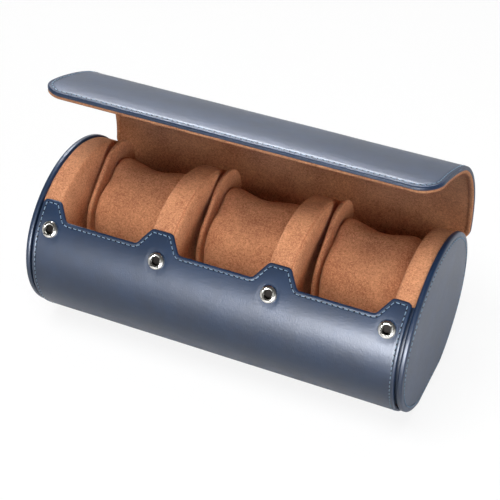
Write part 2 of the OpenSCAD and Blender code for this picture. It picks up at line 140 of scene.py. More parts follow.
# The lid: s runs from the hinge line to the front edge.
lidMid = lid["gap"] + lid["thick"] / 2
hingeAngle = math.degrees(math.asin((lid["hingeUp"] - lid["rise"]) / (sideR + lidMid)))
lidAngles = np.arange(hingeAngle, 180 - lid["frontAngle"] + 0.2, 0.1)
lidS = arcLength(lidAngles, lidMid)
lidLong = float(np.interp(180 - lid["frontAngle"], lidAngles, lidS))
lidShift = np.array([-lid["forward"], lid["rise"] + midZ])
hinge = ovalPoint(hingeAngle, lidMid) + lidShift
print("lid: %.1f long, hinge %s" % (lidLong, hinge.round(2)))


def openLid(out):  # the lid's face at this distance from the outline, in the pose that is shown
    middle = ovalPoint(lidAngles, lidMid) + lidShift
    t = np.clip((lidS - lid["flexFrom"]) / (lid["flexTo"] - lid["flexFrom"]), 0, 1)
    # The crease is soft, so the front part flattens as it opens.
    bend = lid["flex"] * (0.6 * t + 0.4 * ease(t))
    steps = turnUp(np.diff(middle, axis=0), np.zeros(2), (bend[1:] + bend[:-1]) / 2)
    middle = middle[0] + np.concatenate([[[0, 0]], np.cumsum(steps, axis=0)])
    rad = np.radians(lidAngles - bend)
    yz = middle + (out - lidMid) * np.stack([np.cos(rad), np.sin(rad)], -1)
    return turnUp(yz, hinge, np.full(len(yz), lid["open"]))


def lidSkin(out, lead, startS, outward):  # lead: points that carry the face from the wall to the lid
    yz = openLid(out)
    keep = lidS >= startS
    knots = np.array(lead + [yz[keep][0], yz[keep][30]])
    first = np.concatenate([[2 * knots[0] - knots[1]], knots])
    dense = []
    for a, b, c, d in zip(first[:-3], first[1:-2], first[2:-1], first[3:]):
        t = np.linspace(0, 1, 24, endpoint=False)[:, None]
        dense.append(0.5 * (2 * b + (c - a) * t + (2 * a - 5 * b + 4 * c - d) * t ** 2
                            + (3 * b - a - 3 * c + d) * t ** 3))
    dense = np.concatenate(dense)
    gaps = np.linalg.norm(np.diff(np.concatenate([dense, yz[keep][:1]]), axis=0), axis=1)
    before = lidS[keep][0] - np.cumsum(gaps[::-1])[::-1]
    return Skin(np.concatenate([before, lidS[keep]]), np.concatenate([dense, yz[keep]]), outward)


def near(pivot, radius, angle):
    return np.array(pivot) + radius * np.array([math.cos(math.radians(angle)), math.sin(math.radians(angle))])


# How the lid's faces leave the back wall: points as distance and angle, three from the wall's round side
# and one from the hinge line.
leadLook = {"outSide": [(1.7, -3), (1.7, 3), (1.75, 9)], "outHinge": (2.5, -5),
            "inSide": [(-2.6, 5), (-2.6, 10), (-1.6, 15.5)], "inHinge": (1.9, 172), "end": 6}


def leadPoints(face):
    middle = [section["arcY"], midZ]
    points = [near(middle, sideR + away, angle) for away, angle in leadLook[face + "Side"]]
    return points + [near(hinge, *leadLook[face + "Hinge"])]


lidOutSkin = lidSkin(lid["gap"] + lid["thick"], leadPoints("out"), leadLook["end"], 1)
lidInSkin = lidSkin(lid["gap"], leadPoints("in"), leadLook["end"], -1)


# Meshes
sharpAngle = 38


def makeMesh(name, points, faces, material, sharp=sharpAngle):
    mesh = bpy.data.meshes.new(name)
    mesh.from_pydata((np.asarray(points, float) * 0.001).tolist(), [], faces)
    mesh.update()
    work = bmesh.new()
    work.from_mesh(mesh)
    bmesh.ops.recalc_face_normals(work, faces=work.faces)
    for face in work.faces:
        face.smooth = True
    work.to_mesh(mesh)
    work.free()
    mesh.set_sharp_from_angle(angle=math.radians(sharp))
    mesh.materials.append(material)
    piece = bpy.data.objects.new(name, mesh)
    bpy.context.scene.collection.objects.link(piece)
    return piece


def applyModifiers(piece):
    done = piece.evaluated_get(bpy.context.evaluated_depsgraph_get())
    mesh = bpy.data.meshes.new_from_object(done)
    piece.modifiers.clear()
    piece.data = mesh
    return piece


def band(base, n):  # the faces between a ring of n points and the next ring
    return [[base + j, base + (j + 1) % n, base + n + (j + 1) % n, base + n + j] for j in range(n)]


def closedTube(n, k, base=0):  # the faces of k rings of n points, closed at both ends
    faces = [face for m in range(k - 1) for face in band(base + m * n, n)]
    return faces + [list(range(base, base + n))[::-1], list(range(base + (k - 1) * n, base + k * n))]


def roundedPath(corners, radii, step, lip=0):
    # Corners joined by straight runs and fillets, with outward normals and the middle of each fillet.
    points, normals, middles = [], [], []
    corners = [np.array(c, float) for c in corners]
    here = corners[0]
    for k in range(1, len(corners)):
        a = corners[k - 1]
        u1 = (corners[k] - a) / np.linalg.norm(corners[k] - a)
        n1 = np.array([-u1[1], u1[0]])
        if k < len(corners) - 1:
            u2 = (corners[k + 1] - corners[k]) / np.linalg.norm(corners[k + 1] - corners[k])
            n2 = np.array([-u2[1], u2[0]])
            side = 1 if u1[0] * u2[1] - u1[1] * u2[0] < 0 else -1
            half = math.acos(max(-1, min(1, float(u1 @ u2)))) / 2
            r = radii[k - 1]
            stop = corners[k] - u1 * r * math.tan(half)
        else:
            stop = corners[k]
        count = max(1, int(round(np.linalg.norm(stop - here) / step)))
        for i in range(count):
            points.append(here + (stop - here) * i / count)
            normals.append(n1)
        if k == len(corners) - 1:
            points.append(stop)
            normals.append(n1)
            break
        centre = stop - side * r * n1
        bendStep = 18 if r < 5 else 6  # degrees from point to point of a tight fillet, or of a wide one
        bends = max(4, 2 * int(math.ceil(math.degrees(2 * half) / bendStep)))
        middles.append(len(points) + bends // 2)
        for i in range(bends):
            t = i / bends
            n = (n1 * math.sin((1 - t) * 2 * half) / math.sin(2 * half)
                 + n2 * math.sin(t * 2 * half) / math.sin(2 * half))
            points.append(centre + side * r * n)
            normals.append(n)
        here = centre + side * r * n2
    points, normals = np.array(points), np.array(normals)
    if lip:  # a thin row at both ends, so that the shading runs on across the cut
        first = points[0] + np.array([-normals[0][1], normals[0][0]]) * -lip
        last = points[-1] + np.array([-normals[-1][1], normals[-1][0]]) * lip
        points = np.concatenate([points[:1], [first], points[1:-1], [last], points[-1:]])
        normals = np.concatenate([normals[:1], normals[:1], normals[1:-1], normals[-1:], normals[-1:]])
        middles = [m + 1 for m in middles]
    return points, normals, middles


def plain(x, s):
    return np.zeros(np.shape(x))


def sheetPiece(name, place, path, normal, corner, strip, relief, material):
    # A bent sheet with a shaped rim. The path runs up the left, across and down the right; the strip lists
    # [inset, out] from the hidden face round the rim to the face that shows; the last edge is cut straight.
    k, p = len(path), len(strip)
    across = k - 1 - 2 * corner
    points = []
    for inset, out in strip:
        q = path - normal * inset
        pressed = relief(q[:, 0], q[:, 1]) * (inset > 1)
        points.append(place(q[:, 0], q[:, 1], np.broadcast_to(out, k) + pressed))
    points = [np.concatenate(points)]
    grids = []
    total = p * k
    span = 25  # the columns' spacing is evened out over this many points
    for border, out in ((p - 1, strip[-1]), (0, strip[0])):
        q = path - normal * out[0]
        left, right, front = q[:corner + 1], q[::-1][:corner + 1], q[corner:k - corner]
        w = (front[:, 0] - front[0, 0]) / (front[-1, 0] - front[0, 0])
        w = np.pad(w, span // 2, "reflect", reflect_type="odd")
        w = np.convolve(w, np.ones(span) / span, "valid")[None, :, None]
        v = ((left[:, 1] - left[0, 1]) / (left[-1, 1] - left[0, 1]))[:, None, None]
        # The columns are even, and take up the rim's own spacing only close to it.
        share = np.concatenate([v ** 5, v], -1)
        beyond = front - (1 - w) * front[0] - w * front[-1]
        grid = (1 - w) * left[:, None] + w * right[:, None] + share * beyond
        inner = grid[:-1, 1:-1].reshape(-1, 2)
        level = np.interp(inner[:, 1], path[:corner + 1, 1], np.broadcast_to(out[1], k)[:corner + 1])
        shown = relief(inner[:, 0], inner[:, 1])
        points.append(place(inner[:, 0], inner[:, 1], level + shown))
        index = np.zeros((corner + 1, across + 1), int)
        index[:-1, 1:-1] = total + np.arange(corner * (across - 1)).reshape(corner, across - 1)
        index[:, 0] = border * k + np.arange(corner + 1)
        index[:, -1] = border * k + k - 1 - np.arange(corner + 1)
        index[-1, :] = border * k + corner + np.arange(across + 1)
        grids.append(index)
        total += corner * (across - 1)
    faces = []
    for m in range(p - 1):
        a = m * k + np.arange(k - 1)
        faces += np.stack([a, a + 1, a + k + 1, a + k], -1).tolist()
    for index, flip in zip(grids, (1, -1)):
        quads = np.stack([index[:-1, :-1], index[1:, :-1], index[1:, 1:], index[:-1, 1:]], -1).reshape(-1, 4)
        faces += quads[:, ::flip].tolist()
    shown, hidden = grids[0][0], grids[1][0]
    faces += np.stack([shown[:-1], hidden[:-1], hidden[1:], shown[1:]], -1).tolist()
    faces.append([m * k for m in range(p)])
    faces.append([m * k + k - 1 for m in range(p)][::-1])
    return makeMesh(name, np.concatenate(points), faces, material)


# A thread from end to end: share of its half length, rise and thickness, drawn for a thread of drawnThick
threadForm = {"drawnThick": 0.55, "flat": 0.85, "sides": 8, "sharp": 60,
              "profile": [(-1, -0.22, 0.45), (-0.86, 0.02, 0.85), (-0.5, 0.16, 1), (0, 0.2, 1.05),
                          (0.5, 0.16, 1), (0.86, 0.02, 0.85), (1, -0.22, 0.45)]}


def stitchRun(name, place, path, material, hole, size, closed=False, gone=None):
    # Short threads that dive into the leather at both ends, and the needle holes between them, drawn as
    # shallow near-black cones that paint the shade inside each hole.
    step = np.linalg.norm(np.diff(place(path[:, 0], path[:, 1], 0), axis=0), axis=1)
    along = np.concatenate([[0], np.cumsum(step)])
    count = int(round(along[-1] / size["pitch"]))
    pitch = along[-1] / count
    n = threadForm["sides"]
    ring = np.linspace(0, 2 * math.pi, n, endpoint=False)
    profile = threadForm["profile"]
    points, faces, pits, pitFaces = [], [], [], []

    def at(d, out):
        d = d % along[-1] if closed else min(max(d, 0), along[-1])
        x, s = np.interp(d, along, path[:, 0]), np.interp(d, along, path[:, 1])
        return place(np.array([x]), np.array([s]), np.array([out]))[0]

    for i in range(count):
        d0 = (i + 0.5) * pitch
        half = size["long"] / 2 * random.uniform(0.95, 1.03)
        lean = random.uniform(-0.04, 0.04) + size["slant"]
        if gone and gone(at(d0, 0)):
            continue
        a, b = at(d0 - 0.3, 0), at(d0 + 0.3, 0)
        tangent = (b - a) / np.linalg.norm(b - a)
        up = at(d0, 1) - at(d0, 0)
        side = np.cross(tangent, up)
        faces += closedTube(n, len(profile), len(points))
        for t, rise, fat in profile:
            high = rise * size["thick"] / threadForm["drawnThick"] + size["lift"]
            centre = at(d0 + t * half, high) + side * t * half * lean
            for a in ring:
                spoke = side * math.cos(a) + up * math.sin(a) * threadForm["flat"]
                points.append(centre + fat * size["thick"] / 2 * spoke)
        centre = at(d0 + pitch / 2, size["lift"])
        base = len(pits)
        for out, r in ((-0.12, 0.5), (0.0, 1)):
            for a in ring:
                spoke = side * math.cos(a) + tangent * 1.2 * math.sin(a)
                pits.append(centre + up * out + r * size["hole"] / 2 * spoke)
        pits.append(centre + up * 0.03)
        pitFaces += band(base, n)
        pitFaces += [[base + n + j, base + n + (j + 1) % n, base + 2 * n] for j in range(n)]
        pitFaces.append([base + j for j in range(n)][::-1])
    threads = makeMesh(name, points, faces, material, threadForm["sharp"])
    return threads, makeMesh(name.replace("Stitch", "Holes"), pits, pitFaces, hole, threadForm["sharp"])


# Materials
def paint(r, g, b):  # screen colour to a shader colour
    return tuple(((c / 255 + 0.055) / 1.055) ** 2.4 if c > 10 else c / 3294.6 for c in (r, g, b)) + (1.0,)


class Signal:  # a socket that can be added, multiplied and so on
    def __init__(self, graph, socket):
        self.graph, self.socket = graph, socket

    def maths(self, operation, a, b):
        return self.graph.node("ShaderNodeMath", {"operation": operation}, {0: a, 1: b})

    def __add__(self, other):
        return self.maths("ADD", self, other)

    def __radd__(self, other):
        return self.maths("ADD", other, self)

    def __sub__(self, other):
        return self.maths("SUBTRACT", self, other)

    def __rsub__(self, other):
        return self.maths("SUBTRACT", other, self)

    def __mul__(self, other):
        return self.maths("MULTIPLY", self, other)

    def __rmul__(self, other):
        return self.maths("MULTIPLY", other, self)


class Finish:  # a material, or the world, and the nodes in it
    def __init__(self, name, kind="materials"):
        self.owner = getattr(bpy.data, kind).new(name)
        self.owner.use_nodes = True
        self.tree = self.owner.node_tree
        self.tree.nodes.clear()

    def node(self, kind, settings=None, sockets=None, out=0):
        made = self.tree.nodes.new(kind)
        for key, value in (settings or {}).items():
            if key == "stops":
                ramp = made.color_ramp.elements
                while len(ramp) < len(value):
                    ramp.new(0.5)
                for element, (position, colour) in zip(ramp, value):
                    element.position, element.color = position, colour
            else:
                setattr(made, key, value)
        for key, value in (sockets or {}).items():
            if isinstance(value, Signal):
                self.tree.links.new(value.socket, made.inputs[key])
            else:
                made.inputs[key].default_value = value
        return Signal(self, made.outputs[out])

    def millimetres(self):  # the place on the piece, in millimetres
        place = self.node("ShaderNodeTexCoord", out="Object")
        return self.node("ShaderNodeVectorMath", {"operation": "SCALE"}, {0: place, "Scale": 1000.0})

    def mottle(self, place, scale, detail=3.0, rough=0.55):
        return self.node("ShaderNodeTexNoise", {"noise_dimensions": "3D"},
            {"Vector": place, "Scale": scale, "Detail": detail, "Roughness": rough})

    def ramp(self, value, low, high):
        return self.node("ShaderNodeMapRange", {"interpolation_type": "SMOOTHSTEP"},
            {"Value": value, "From Min": low, "From Max": high})

    def blend(self, factor, a, b):
        return self.node("ShaderNodeMix", {"data_type": "RGBA", "blend_type": "MIX"},
            {0: factor, 6: a, 7: b}, 2)

    def bump(self, height, strength, distance, normal=None):
        sockets = {"Height": height, "Strength": strength, "Distance": distance * 0.001}
        if normal:
            sockets["Normal"] = normal
        return self.node("ShaderNodeBump", None, sockets)

    def seen(self):  # 1 for the camera, and for what metal and glass mirror or let through
        camera, glossy, through = (self.node("ShaderNodeLightPath", out="Is %s Ray" % ray)
                                   for ray in ("Camera", "Glossy", "Transmission"))
        return camera + glossy + through

    def surface(self, sockets):
        return self.finish("ShaderNodeOutputMaterial", self.node("ShaderNodeBsdfPrincipled", None, sockets))

    def finish(self, kind, shader):
        self.tree.links.new(shader.socket, self.tree.nodes.new(kind).inputs["Surface"])
        return self.owner


def navyLeather():
    look = {"deep": paint(14, 36, 63), "full": paint(19, 47, 80), "worn": paint(70, 96, 128),
            "grain": 0.62, "rough": 0.34}
    f = Finish("navyLeather")
    p = f.millimetres()
    cloudy = f.mottle(p, 0.055, 3)
    fine = f.mottle(p, 1.25, 4, 0.6)
    cells = f.node("ShaderNodeTexVoronoi", {"feature": "SMOOTH_F1"},
        {"Vector": p, "Scale": 1 / look["grain"], "Smoothness": 0.6})
    shade = f.blend(f.ramp(cloudy, 0.3, 0.7) * 0.7 + fine * 0.3, look["deep"], look["full"])
    edge = f.ramp(f.node("ShaderNodeNewGeometry", out="Pointiness"), 0.55, 0.66)
    shade = f.blend(edge * 0.8, shade, look["worn"])
    grain = f.bump(cells * 0.6 + fine * 1.4, 0.7, 0.085)
    waves = f.bump(f.mottle(p, 0.1, 2), 0.42, 0.3, grain)
    return f.surface({"Base Color": shade, "Roughness": look["rough"] + fine * 0.14 - edge * 0.06,
        "Normal": waves, "IOR": 1.45, "Specular IOR Level": 0.5, "Specular Tint": (0.86, 0.9, 1.0, 1.0),
        "Coat Weight": 0.12, "Coat Roughness": 0.25})


def tanSuede():
    look = {"low": paint(152, 88, 58), "high": paint(230, 166, 122), "nap": 2.2}
    f = Finish("tanSuede")
    p = f.millimetres()
    patch = f.mottle(p, 0.07, 3, 0.6)
    clumps = f.mottle(p, 0.8, 4, 0.7)
    fuzz = f.mottle(p, look["nap"], 6, 0.8)
    amount = f.ramp(patch * 0.16 + clumps * 0.3 + fuzz * 0.54, 0.36, 0.62)
    shade = f.blend(amount, look["low"], look["high"])
    normal = f.bump(clumps, 0.25, 0.3, f.bump(fuzz, 0.8, 0.34))
    return f.surface({"Base Color": shade, "Roughness": 0.93, "Normal": normal, "Specular IOR Level": 0.15,
        "Sheen Weight": 0.25, "Sheen Roughness": 0.5, "Sheen Tint": paint(225, 185, 150)})


def blueThread():
    look = {"dark": paint(84, 116, 146), "light": paint(152, 180, 202)}
    f = Finish("blueThread")
    p = f.millimetres()
    ply = f.mottle(p, 3.2, 2)
    return f.surface({"Base Color": f.blend(f.ramp(ply, 0.35, 0.65), look["dark"], look["light"]),
        "Roughness": 0.55 + ply * 0.2, "Normal": f.bump(ply, 0.5, 0.15)})


def needleHoleShade():
    # painted shade: near-black cones stand in for the shade inside the needle holes
    f = Finish("needleHoleShade")
    shade = f.blend(f.mottle(f.millimetres(), 2.0), paint(5, 9, 18), paint(12, 19, 36))
    return f.surface({"Base Color": shade, "Roughness": 0.8, "Specular IOR Level": 0.2})


def greyBoard():
    f = Finish("greyBoard")
    p = f.millimetres()
    fibre = f.mottle(p, 1.4, 5, 0.7)
    return f.surface({"Base Color": f.blend(fibre, paint(150, 138, 118), paint(196, 184, 162)),
        "Roughness": 0.9, "Normal": f.bump(fibre, 0.3, 0.1)})


def nickel(name, tone, snap=False):
    # hole, floor and ring: the near-black painted shade in a snap's hole, and the depths between which it
    # fades into the metal
    look = {"clean": paint(222 * tone, 220 * tone, 214 * tone),
            "dull": paint(176 * tone, 174 * tone, 170 * tone),
            "hole": paint(30, 28, 27), "floor": -0.75, "ring": 0.35}
    f = Finish(name)
    p = f.millimetres()
    drawn = f.node("ShaderNodeVectorMath", {"operation": "MULTIPLY"}, {0: p, 1: (0.4, 3.0, 3.0)})
    scratches = f.mottle(drawn, 1.5, 4, 0.7)
    shade = f.blend(f.ramp(scratches, 0.4, 0.7), look["clean"], look["dull"])
    rough = 0.16 + f.mottle(p, 0.6) * 0.12
    if snap:  # painted shade: the inside of the ring's hole is coloured near black, and rougher, by its depth along the snap's axis
        a = math.radians(wallLook["snapAngle"])
        up = np.array([-math.cos(a), math.sin(a)])
        foot = [-section["arcY"], midZ] + (sideR + section["wallOut"]) * up
        high = f.node("ShaderNodeVectorMath", {"operation": "DOT_PRODUCT"}, {0: p, 1: (0, *up)}, "Value")
        clean = f.ramp(high - float(foot @ up), look["floor"], look["ring"])
        shade = f.blend(clean, look["hole"], shade)
        rough = rough + (1 - clean) * 0.3
    return f.surface({"Base Color": shade, "Metallic": 1.0, "Roughness": rough,
        "Normal": f.bump(scratches, 0.06, 0.03)})


# The wrapped wall; the snaps' finish takes their tilt from here. The seam stops short of the back edge by
# this many skipped points, and has no stitches lower than seamLow.
wallLook = {"tabRadius": 3.0, "notchRadius": 3.2, "stitchIn": 2.2, "step": 2.4, "snapAngle": 37.6,
            "snapX": (-98.75, -32.95, 32.95, 98.75), "snapHole": 3.1, "punch": (-4, 2), "dimple": 0.28,
            "skipped": 8, "seamLow": 3.0}
leather, suede, thread = navyLeather(), tanSuede(), blueThread()
holeShade, board, metal = needleHoleShade(), greyBoard(), nickel("nickel", 1.0)
springSteel, socketMetalHoleShade = nickel("springSteel", 0.62), nickel("socketMetalHoleShade", 1.0, True)
finishes = {"leather": leather, "welt": leather, "board": board, "spring": springSteel,
            "socket": socketMetalHoleShade, "snap": metal}
for name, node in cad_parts.items():
    kind = next((finish for word, finish in finishes.items() if word in name), suede)
    node.data.materials.clear()
    node.data.materials.append(kind)
threadSize = {"pitch": 3.0, "long": 2.2, "thick": 0.42, "hole": 0.9, "lift": -0.1, "slant": 0.06}
lidThread = {**threadSize, "long": 2.5, "thick": 0.36, "lift": -0.06}
panelThread = {**threadSize, "thick": 0.5, "lift": -0.02}
print("materials done")

# The wrapped wall
high, low = edgeS + edgeHigh / 2 * shrink, edgeS - edgeHigh / 2 * shrink
ends = section["wallHalf"]
corners, radii = [(-ends, wallAt(section["backAngle"])), (-ends, high)], [wallLook["tabRadius"]]
for xc in (-section["notchPitch"], 0, section["notchPitch"]):
    corners += [(xc - section["notchTop"] / 2, high), (xc - section["notchLow"] / 2, low),
                (xc + section["notchLow"] / 2, low), (xc + section["notchTop"] / 2, high)]
    radii += [wallLook["tabRadius"], wallLook["notchRadius"], wallLook["notchRadius"], wallLook["tabRadius"]]
corners += [(ends, high), (ends, wallAt(section["backAngle"]))]
radii += [wallLook["tabRadius"]]
wallPath, wallNormal, wallMiddles = roundedPath(corners, radii, wallLook["step"])
snapS = wallAt(-180 - wallLook["snapAngle"])


def wallRelief(x, s):  # the leather is pressed in round the snaps, and isn't quite even
    out = np.zeros(np.shape(x))
    for xs in wallLook["snapX"]:
        r = np.hypot(x - xs, s - snapS)
        out -= wallLook["dimple"] * (1 - ease((r - 4.6) / 2.2))
    flat = wavy(zip(np.ravel(x) / 34, np.ravel(s) / 21), 3.1).reshape(np.shape(x))
    return out + 0.09 * flat * (s < edgeS)


wallStrip = [(2.9, -2.6), (1.3, -2.6), (0.7, -2.48), (0.28, -2.2), (0.05, -1.75), (0, -1.3), (0.05, -0.8),
             (0.22, -0.38), (0.6, -0.08), (1.15, 0.0), (1.55, -0.02), (1.9, -0.13), (2.2, -0.19),
             (2.5, -0.13), (2.8, -0.02), (2.9, 0)]
wall = sheetPiece("wallLeather", wallSkin.place, wallPath, wallNormal, wallMiddles[0], wallStrip,
    wallRelief, leather)


def punchHoles(piece):  # a round hole in the leather under each snap ring
    ring = np.linspace(0, 2 * math.pi, 40, endpoint=False)
    points, faces = [], []
    for xs in wallLook["snapX"]:
        faces += closedTube(len(ring), 2, len(points))
        foot = wallSkin.place(np.array([xs]), np.array([snapS]), 0)[0]
        up = wallSkin.place(np.array([xs]), np.array([snapS]), 1)[0] - foot
        across = np.cross(up, (1, 0, 0))
        spokes = [np.array([math.cos(a), 0, 0]) + across * math.sin(a) for a in ring]
        for out in wallLook["punch"]:
            points += [foot + up * out + wallLook["snapHole"] * spoke for spoke in spokes]
    punch = makeMesh("punch", points, faces, piece.data.materials[0])
    cut = piece.modifiers.new("cut", "BOOLEAN")
    cut.object, cut.operation, cut.solver = punch, "DIFFERENCE", "EXACT"
    applyModifiers(piece)
    bpy.data.objects.remove(punch)
    piece.data.set_sharp_from_angle(angle=math.radians(sharpAngle))
    return piece


punchHoles(wall)
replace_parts(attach(wall, "case"), "body_leather")
seam = (wallPath - wallNormal * wallLook["stitchIn"])[wallLook["skipped"]:-wallLook["skipped"]]
for piece in stitchRun("wallStitch", wallSkin.place, seam, thread, holeShade, threadSize,
        gone=lambda p: p[2] < wallLook["seamLow"]):
    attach(piece, "case")
trayStrip = [(2.4, -2.62), (1.8, -2.64), (1.4, -2.72), (1.3, -2.9), (1.4, -3.08), (1.8, -3.18), (2.4, -3.2)]
tray = sheetPiece("trayLining", wallSkin.place, wallPath, wallNormal, wallMiddles[0], trayStrip, plain, suede)
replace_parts(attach(tray, "case"), "tray_lining")
print("wall done,", len(wall.data.vertices), "points")

# The lid: the back part bends at the hinge, the front part at the crease
lidLook = {"split": 60.0, "lap": -15.5, "lapHalf": 107.2, "step": 2.4, "stitchIn": 2.5, "seamFrom": 9.0,
           "narrowFrom": 6.0, "narrowTo": 1.2, "narrowR": 6, "lip": 0.15,
           "hingeSpan": ((55.3, 10.6), (57.0, 18.8)), "studS": 125.0, "seatR": 5.0, "seatDeep": 1.0,
           "boardIn": 2.4, "boardLow": -1.15, "boardHigh": -2.95, "boardFrom": 11.0, "boardGap": 1.4}
# inset, out on the lid, out on the lap; from the hidden face round the rim to the face that shows
leatherRim = [(5.4, -1.0, -0.8), (1.25, -1.0, -0.8), (1.15, -1.3, -0.8), (1.05, -2.0, -0.8),
              (0.6, -2.14, -0.78), (0.26, -2.06, -0.74), (0.06, -1.84, -0.62), (0.0, -1.58, -0.5),
              (0.06, -1.36, -0.46), (0.34, -1.24, -0.42), (0.34, -1.14, -0.4), (0.08, -1.02, -0.36),
              (0.03, -0.78, -0.34), (0.14, -0.52, -0.3), (0.3, -0.4, -0.2), (0.56, -0.5, -0.2),
              (0.62, -0.42, -0.16), (0.5, -0.2, -0.1), (0.66, -0.04, -0.02), (0.95, 0.04, 0.0),
              (1.2, 0.0, 0.0), (1.38, -0.26, -0.06), (1.48, -0.26, -0.06), (1.62, 0.0, 0.0),
              (1.85, 0.04, 0.0), (2.12, -0.04, -0.06), (2.5, -0.2, -0.14), (2.88, -0.08, -0.08),
              (3.3, 0.02, 0.0), (4.2, 0.04, 0.0), (5.4, 0.0, 0.0)]
liningRim = [(3.6, -0.6, -0.6), (1.3, -0.6, -0.6), (1.2, -1.2, -0.6), (0.6, -1.28, -0.58),
             (0.3, -1.12, -0.5), (0.14, -0.72, -0.35), (0.1, -0.3, -0.2), (0.18, 0.1, -0.06),
             (0.46, 0.42, 0.0), (0.9, 0.56, 0.0), (1.6, 0.56, 0.0), (2.2, 0.44, 0.0), (2.55, 0.2, 0.0),
             (2.75, -0.24, 0.0), (2.86, -0.34, 0.0), (3.0, -0.14, 0.0), (3.25, 0.0, 0.0), (3.6, 0.0, 0.0)]
long, wide, lapWide = lidLong, lid["half"], lidLook["lapHalf"]


def rimFor(rim, path):
    share = ease((path[:, 1] - 1.5) / 5)
    return [(inset, share * onLid + (1 - share) * onLap) for inset, onLid, onLap in rim]


def uneven(amount, seed):
    def relief(x, s):
        return amount * wavy(zip(np.ravel(x) / 40, np.ravel(s) / 26), seed).reshape(np.shape(x))
    return relief


def seated(relief):  # the lining is pressed in round the studs
    def pressed(x, s):
        out = relief(x, s)
        for xs in wallLook["snapX"]:
            away = np.hypot(x - xs, s - lidLook["studS"]) - lidLook["seatR"]
            out = out - lidLook["seatDeep"] * (1 - ease(away / 2.2))
        return out
    return pressed


def sidePath(endS, cornerR):  # runs down the right side, across the free end and up the left
    right = [(wide, lidLook["split"]), (wide, lidLook["narrowFrom"]),
             (lapWide, lidLook["narrowTo"]), (lapWide, endS)]
    left = [(-x, s) for x, s in right[::-1]]
    radii = [lidLook["narrowR"]] * 2 + [cornerR] * 2 + [lidLook["narrowR"]] * 2
    return roundedPath(right + left, radii, lidLook["step"], lidLook["lip"])


lidLine = openLid(lidMid) / 1000
creaseSpan = [(0, *lidLine[np.searchsorted(lidS, s)]) for s in (lid["flexFrom"], lidLong - 0.5)]
hingeSpan = [(0, y / 1000, (midZ + high) / 1000) for y, high in lidLook["hingeSpan"]]

path, normal, middles = sidePath(lidLook["lap"], 6)
lidBack = sheetPiece("lidLeatherBack", lidOutSkin.place, path, normal, middles[2],
    rimFor(leatherRim, path), uneven(0.1, 5.0), leather)
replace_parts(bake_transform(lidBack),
    "lid_leather", "hinge_welt", "lid_hinge_leather")
for side, x in (("Left", -wide + lidLook["stitchIn"]), ("Right", wide - lidLook["stitchIn"])):
    run = np.linspace((x, lidLook["seamFrom"]), (x, lidLook["split"]), 60)
    for piece in stitchRun("lidStitch" + side, lidOutSkin.place, run, thread, holeShade, lidThread):
        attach(piece, "lid")
lap = lidLook["lap"] + lidLook["stitchIn"]
run = np.linspace((-lapWide + lidLook["stitchIn"], lap), (lapWide - lidLook["stitchIn"], lap), 100)
for piece in stitchRun("lapStitch", lidOutSkin.place, run, thread, holeShade, lidThread):
    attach(piece, "case")

path, normal, middles = sidePath(lidInSkin.s[0] + 0.3, 4.5)
liningBack = sheetPiece("lidLiningBack", lidInSkin.place, path, normal, middles[2],
    rimFor(liningRim, path), uneven(0.15, 9.0), suede)
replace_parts(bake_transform(liningBack), "lid_lining")

corners = [(-wide, lidLook["split"]), (-wide, long), (wide, long), (wide, lidLook["split"])]
path, normal, middles = roundedPath(corners, [lid["cornerRadius"]] * 2, lidLook["step"], lidLook["lip"])
lidFront = sheetPiece("lidLeatherFront", lidOutSkin.place, path, normal, middles[0],
    rimFor(leatherRim, path), uneven(0.1, 5.0), leather)
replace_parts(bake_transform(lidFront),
    "flap_leather", "lid_crease_leather")
seam = path - normal * lidLook["stitchIn"]
for piece in stitchRun("lidStitchFront", lidOutSkin.place, seam, thread, holeShade, lidThread):
    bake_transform(piece)
liningFront = sheetPiece("lidLiningFront", lidInSkin.place, path, normal, middles[0],
    rimFor(liningRim, path), seated(uneven(0.15, 9.0)), suede)
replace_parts(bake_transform(liningFront), "flap_lining")

boardIn, boardLow, boardHigh = lidLook["boardIn"], lidLook["boardLow"], lidLook["boardHigh"]
boardRim = [(boardIn + 0.4, boardHigh), (boardIn + 0.1, boardHigh + 0.1), (boardIn, boardHigh + 0.4),
            (boardIn, boardLow - 0.4), (boardIn + 0.1, boardLow - 0.1), (boardIn + 0.4, boardLow)]
backEnd, frontStart = lid["crease"] - lidLook["boardGap"], lid["crease"] + lidLook["boardGap"]
for name, node, start, end, radius in (
        ("lidBoardBack", "lid_board", lidLook["boardFrom"], backEnd, 1.0),
        ("lidBoardFront", "flap_board", frontStart, long, lid["cornerRadius"])):
    stop = end + (boardIn if end < long else 0)
    corners = [(-wide, start), (-wide, stop), (wide, stop), (wide, start)]
    path, normal, middles = roundedPath(corners, [radius] * 2, 3.0)
    stiff = sheetPiece(name, lidOutSkin.place, path, normal, middles[0], boardRim, plain, board)
    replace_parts(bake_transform(stiff), node)
print("lid done")

# Pieces with the end outline: end panels, end pads and dividers
outlineAngles = np.linspace(0, 360, 260, endpoint=False)
frontRun = wallPath[wallMiddles[0]:len(wallPath) - wallMiddles[0]]


def coveredBy(x, angle):  # 1 where the wall lies over the outline, 0 above its edges
    a = (angle + 180) % 360 - 180
    a = np.where(a > section["backAngle"] + 3, a - 360, a)
    s = np.where(a > -239, np.interp(-a, -wallAngles, wallS), 1e3)
    below = np.interp(x, frontRun[:, 0], frontRun[:, 1]) - s
    behind = (section["backAngle"] - a) * 0.77
    return ease(below / 1.2) * ease(behind / 1.2)


def outlineRing(x, out, tuck, puff=0.0):
    low = np.full(len(outlineAngles), float(out)) + puff
    if tuck is not None:
        share = coveredBy(x, outlineAngles)
        low = np.where(low > tuck, low + share * (tuck - low), low)
    yz = ovalPoint(outlineAngles, low)
    yz[:, 1] = np.maximum(yz[:, 1], section["wallOut"] - low - midZ)
    return np.column_stack([np.full(len(yz), float(x)), yz[:, 0], yz[:, 1] + midZ])


